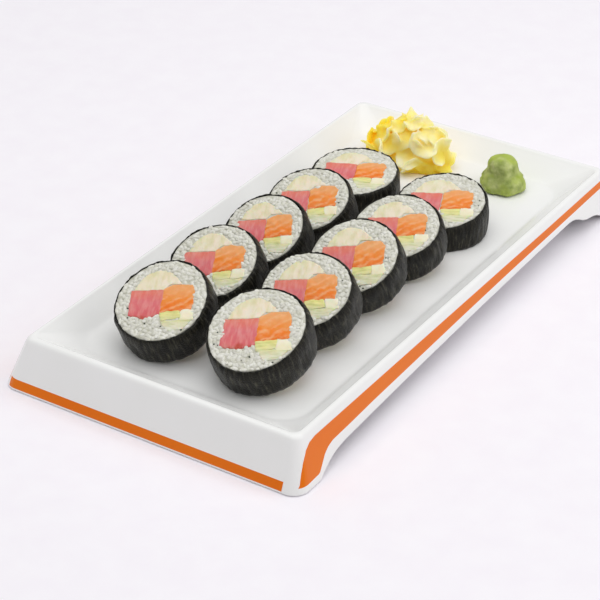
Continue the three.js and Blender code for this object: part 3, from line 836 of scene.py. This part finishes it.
def rolls():
    nori = nori_material()
    rice = rice_material()
    # Lean tuna cut as a block: deep pink-red, lighter and more orange where the air has reached it.
    tuna = flesh_material(
        "raw_tuna", (-11.5, 7.5), [(0.0, "#c04a3a"), (0.12, "#dc666a"), (0.55, "#e0757a"), (0.85, "#e67d6c")],
        "#ecb0a8", 0.45, (1 / 1.9, 1 / 7, 1 / 6),
    )
    # Farmed salmon: orange flakes between slanting lines of pale fat, palest at its upper edge.
    salmon = flesh_material(
        "raw_salmon", (-8.0, 10.0), [(0.0, "#e65a06"), (0.1, "#f07410"), (0.45, "#f58822"), (0.8, "#f2a868")],
        "#f5a95e", 0.45, (1 / 3.4, 1 / 2.2, 1 / 5), line_colour="#f8b884",
    )
    # Cooked white fish, or egg-white omelette as pale as it: cream, with a green cast along its top.
    white_fish = flesh_material(
        "cream_fish", (2.0, 22.0), [(0.0, "#f6e8d6"), (0.5, "#f2e6cf"), (0.8, "#efe6c6"), (1.0, "#e6e0b4")],
        "#d6d092", 0.55, (1 / 2.6, 1 / 7, 1 / 6), slant=math.radians(-38),
    )
    # Ripe avocado: yellow near the stone and greener toward the skin, with a buttery, wet cut.
    avocado = flesh_material(
        "ripe_avocado", (-20.0, -7.5),
        [(0.0, "#eae7d6"), (0.45, "#e6e3bf"), (0.7, "#ebe6a4"), (1.0, "#f4ea98")],
        "#b4bb62", 0.5, (1 / 6.0, 1 / 1.6, 1 / 5),
    )
    # A cube of pale, firm filling beside it, cream as egg white.
    pale_block = flesh_material(
        "pale_cube", (-13.0, -7.0), [(0.0, "#f4ecc8"), (1.0, "#fbf4de")],
        "#ece3b4", 0.4, (1 / 4.0, 1 / 3.0, 1 / 5),
    )
    for name, row in ROWS.items():
        for roll in rolls_of(name, row):
            outlines = roll_outlines(roll)
            nori_sheet(roll, nori)
            rice_relief(roll, outlines, rice)

            def uneven(x, y):
                return 0.25 * rough((x, y, 0), 4.0, roll.seed) + 0.1 * rough((x, y, 0), 1.6, roll.seed)

            def fat_grooves(x, y):
                scale = roll.radius / FACE_RADIUS
                away = (y / scale - FAT_MIDDLE[1]) * math.cos(FAT_ANGLE)
                away -= (x / scale - FAT_MIDDLE[0]) * math.sin(FAT_ANGLE)
                nearest = abs((away + FAT_SPACING / 2) % FAT_SPACING - FAT_SPACING / 2)
                return uneven(x, y) - FAT_GROOVE["depth"] * max(0.0, 1 - nearest / FAT_GROOVE["half_width"])

            for layer, material, slot, relief, spacing, angle in (
                ("tuna", tuna, "tuna", uneven, 1.0, 0.0),
                ("salmon", salmon, "salmon", fat_grooves, 0.7, FAT_ANGLE),
                ("white_fish", white_fish, "white_fish", uneven, 1.2, 0.0),
                ("avocado_slice", avocado, "avocado", uneven, 1.0, 0.0),
                ("avocado_block", pale_block, "avocado", uneven, 1.2, 0.0),
                ("avocado_mash", avocado, "avocado", uneven, 1.0, 0.0),
            ):
                bm = filling(roll, outlines[layer], spacing, relief, angle)
                finish_layer(bm, roll, layer, material, slot)


# ---- Ginger and wasabi ----

def well_surface(x, y):
    """Height of the well's glaze under a place."""
    share = min((RIM_WIDTH / 2 - abs(x)) / SIDE_SLOPE_RUN, (RIM_LENGTH / 2 - abs(y)) / END_SLOPE_RUN)
    rise = (PLATTER_HEIGHT, PLATTER_HEIGHT - 1.2, FLOOR_Z + 1.4, FLOOR_Z + 0.35, FLOOR_Z)
    return float(np.interp(share, (0.16, 0.25, 0.9, 1.02, 1.12), rise))


def rest_in_well(bm):
    for vert in bm.verts:
        vert.co.z = max(vert.co.z, well_surface(vert.co.x, vert.co.y) + GAP + 0.1)


def fused(bm, voxel, rounds):
    """Joins the overlapping bodies of a bmesh into one soft skin."""
    mesh = bpy.data.meshes.new("loose")
    bm.to_mesh(mesh)
    bm.free()
    loose = bpy.data.objects.new("loose", mesh)
    bpy.context.scene.collection.objects.link(loose)
    remesh = loose.modifiers.new("skin", "REMESH")
    remesh.mode = "VOXEL"
    remesh.voxel_size = voxel
    skinned = loose.evaluated_get(bpy.context.evaluated_depsgraph_get())
    bm = bmesh.new()
    bm.from_mesh(skinned.to_mesh())
    skinned.to_mesh_clear()
    bpy.data.objects.remove(loose)
    bpy.data.meshes.remove(mesh)
    for _ in range(rounds):
        bmesh.ops.smooth_vert(
            bm, verts=bm.verts, factor=0.5, use_axis_x=True, use_axis_y=True, use_axis_z=True,
        )
    return bm


def ginger_slice(bm, half_length, half_width, fold, frill, lobes, matrix):
    """A thin slice of ginger, curled over one axis and ruffled along its edge."""
    made = bmesh.ops.create_uvsphere(bm, u_segments=48, v_segments=16, radius=1)["verts"]

    def surface(x, y):
        ragged = 1 + SLICE["ragged"] * noise.noise(Vector((1.6 * x, 1.6 * y, 3 * half_length)))
        x, y = x * ragged, y * ragged
        edge = x * x + y * y
        angle = math.atan2(y, x)
        wave = frill * edge * (math.sin(lobes * angle) + 0.4 * edge * math.sin((2 * lobes + 1) * angle))
        bend = fold * x
        drop = half_length * (1 - math.cos(bend)) / fold
        return Vector((half_length * math.sin(bend) / fold, half_width * y, wave - drop))

    step = 0.02
    for vert in made:
        x, y, z = vert.co
        along = surface(x + step, y) - surface(x - step, y)
        across = surface(x, y + step) - surface(x, y - step)
        normal = along.cross(across).normalized()
        half = math.copysign(abs(z) ** 0.5, z) * SLICE["thickness"] / 2
        vert.co = matrix @ (surface(x, y) + normal * half)


def ginger():
    """The heap: a low mound in folds, and ruffled slices all over it, in a spiral from foot to top."""
    radius_x, radius_y, height = GINGER["radius_x"], GINGER["radius_y"], GINGER["height"]
    left, slices = GINGER["left_share"], GINGER["slices"]
    bm = bmesh.new()
    bmesh.ops.create_uvsphere(bm, u_segments=96, v_segments=48, radius=1)
    for vert in bm.verts:
        narrow = left if vert.co.x < 0 else 1.0
        spot = Vector((vert.co.x * radius_x * narrow, vert.co.y * radius_y, vert.co.z * height))
        sunk = 0.1 + 0.1 * abs(rough(spot, 7.0, 3.0))
        vert.co = spot * (1 - sunk)
    draw = random.Random("ginger")
    golden_angle = math.pi * (3 - math.sqrt(5))
    for i in range(slices):
        climb = (i + 0.5) / slices
        angle = i * golden_angle + 0.5
        spread = GINGER["spread"] * math.sqrt(1 - climb * climb)
        half_length = draw.uniform(*SLICE["half_length"])
        half_width = draw.uniform(*SLICE["half_width"])
        fold = draw.choice((-1, -1, 1)) * draw.uniform(*SLICE["fold"])
        frill = draw.uniform(*SLICE["frill"])
        lobes = draw.choice((2, 2, 3))
        spin = Matrix.Rotation(draw.uniform(0, math.tau), 4, "Z")
        opened = draw.uniform(-0.5, 0.8)
        tip = Matrix.Rotation(math.pi / 2 - math.asin(climb) + opened * (1 - climb), 4, "Y")
        facing_x, facing_y = math.cos(angle), math.sin(angle)
        side = radius_x * (left - 0.2 * climb if facing_x < 0 else 1.0)
        by_the_roll = facing_x > 0.3 and facing_y < 0.3 and climb < 0.35
        if by_the_roll:
            spread *= 0.88
        near_the_top = climb > 0.75
        if near_the_top:
            half_length *= 0.75
            half_width *= 0.8
        place = Matrix.Translation((
            side * spread * facing_x + 3 * climb, radius_y * spread * facing_y, 0.95 * height * climb + 1.5,
        ))
        matrix = place @ Matrix.Rotation(angle, 4, "Z") @ tip @ spin
        ginger_slice(bm, half_length, half_width, fold, frill, lobes, matrix)
    bm = fused(bm, GINGER["skin"], GINGER["skin_rounds"])
    # Painted shade: how far inside the heap each point lies, for the stronger yellow there.
    deep = bm.verts.layers.float.new("deep")
    for vert in bm.verts:
        reach = Vector((vert.co.x / radius_x, vert.co.y / radius_y, vert.co.z / height)).length
        vert[deep] = max(0.0, min(1.0, (1.2 - reach) / 0.42))
    bm.transform(Matrix.Translation((GINGER["x"], GINGER["y"], FLOOR_Z)))
    rest_in_well(bm)
    finish_piece(bm, "ginger_slices", ginger_material(), "ginger", "ginger")


def wasabi():
    """A cone pressed by hand: a broad lumpy foot, and above it an upright knob with pressed-in facets."""
    radius, height = WASABI["radius"], WASABI["height"]
    profile = rounded([
        (0, 0), (0.84, 0), (0.96, 0.05), (1.0, 0.15), (1.0, 0.27), (0.95, 0.38), (0.84, 0.48), (0.74, 0.58),
        (0.69, 0.7), (0.64, 0.84), (0.49, 0.95), (0.22, 0.995), (0, 1),
    ], 2)
    bm = bmesh.new()
    turned(bm, [(r * radius, z * height) for r, z in profile], WASABI_TURNS)
    for vert in bm.verts:
        angle = math.atan2(vert.co.y, vert.co.x)
        rise = vert.co.z / height
        out = 1 + 0.03 * math.cos(3 * angle + 1 + 2 * rise)
        for facing, level, depth in WASABI_PRESSES:
            off = (angle - math.radians(facing) + math.pi) % math.tau - math.pi
            away = (off / PRESS["width"]) ** 2 + ((rise - level) / PRESS["height"]) ** 2
            out -= depth * math.exp(-away)
        out += 0.06 * max(0.0, 1 - rise / 0.45) * math.sin(6 * angle + 4 * rise)
        out += 0.07 * rough(vert.co, 3.5, 2.0) + 0.03 * rough(vert.co, 1.4, 6.0)
        vert.co.x = vert.co.x * out - 1.2 * rise
        vert.co.y *= out
    bm.transform(Matrix.Translation((WASABI["x"], WASABI["y"], FLOOR_Z + GAP)))
    finish_piece(bm, "wasabi_cone", wasabi_material(), "wasabi", "wasabi")


# ---- Stage ----

def stage():
    """A pale table, and soft studio light from behind and the right."""
    bm = bmesh.new()
    bmesh.ops.create_grid(bm, x_segments=2, y_segments=2, size=4.0)
    mesh = bpy.data.meshes.new("table")
    bm.to_mesh(mesh)
    bm.free()
    # A sheet of white paper: matt, very slightly cool.
    paper, tree, shader = new_material("white_paper", Roughness=0.9, Specular_IOR_Level=0.1)
    place = node(tree, "TexCoord").outputs["Object"]
    fibre = node(tree, "TexNoise", {"Vector": place, "Scale": 60.0}).outputs["Fac"]
    tint = node(tree, "ValToRGB", {"Fac": fibre}, stops=[(0.3, "#fbf7fd"), (0.7, "#fdfaff")]).outputs["Color"]
    tree.links.new(tint, shader.inputs["Base Color"])
    mesh.materials.append(paper)
    table = bpy.data.objects.new("table", mesh)
    bpy.context.scene.collection.objects.link(table)

    world = bpy.data.worlds.new("studio")
    world.use_nodes = True
    world.node_tree.nodes["Background"].inputs["Color"].default_value = linear("#ffffff")
    world.node_tree.nodes["Background"].inputs["Strength"].default_value = 0.43
    bpy.context.scene.world = world

    aim = Vector((0, 0, 0.02))
    for name, place, size, power in (
        ("key", (1.3, 0.55, 0.95), 1.1, 4.5),
        ("overhead", (0.0, 0.05, 1.6), 2.0, 17.8),
    ):
        light = bpy.data.lights.new(name, "AREA")
        light.size = size
        light.energy = power
        lamp = bpy.data.objects.new(name, light)
        lamp.location = place
        lamp.rotation_euler = (Vector(place) - aim).to_track_quat("Z", "Y").to_euler()
        bpy.context.scene.collection.objects.link(lamp)


def camera():
    """The camera stands in front and to the right, a little above."""
    azimuth, elevation = math.radians(32.99), math.radians(31.25)
    level = Vector((math.sin(azimuth), -math.cos(azimuth), 0))
    toward = level * math.cos(elevation) + Vector((0, 0, math.sin(elevation)))
    right = Vector((math.cos(azimuth), math.sin(azimuth), 0))
    up = toward.cross(right)
    width = RIM_WIDTH * MM
    # How far the camera stands aside, below and away from the rim's middle, in widths of the rim.
    aside, below, away = 0.1097, 0.1727, 7.193
    spot = Vector((0, 0, PLATTER_HEIGHT * MM)) + width * (away * toward - aside * right - below * up)
    data = bpy.data.cameras.new("camera")
    data.sensor_width = 36
    data.lens = 131.5
    data.clip_end = 20
    eye = bpy.data.objects.new("camera", data)
    eye.matrix_world = Matrix((right, up, toward)).transposed().to_4x4()
    eye.matrix_world.translation = spot
    bpy.context.scene.collection.objects.link(eye)
    bpy.context.scene.camera = eye


camera()
stage()
platter()
rolls()
ginger()
wasabi()
bpy.context.scene.view_settings.view_transform = "Standard"
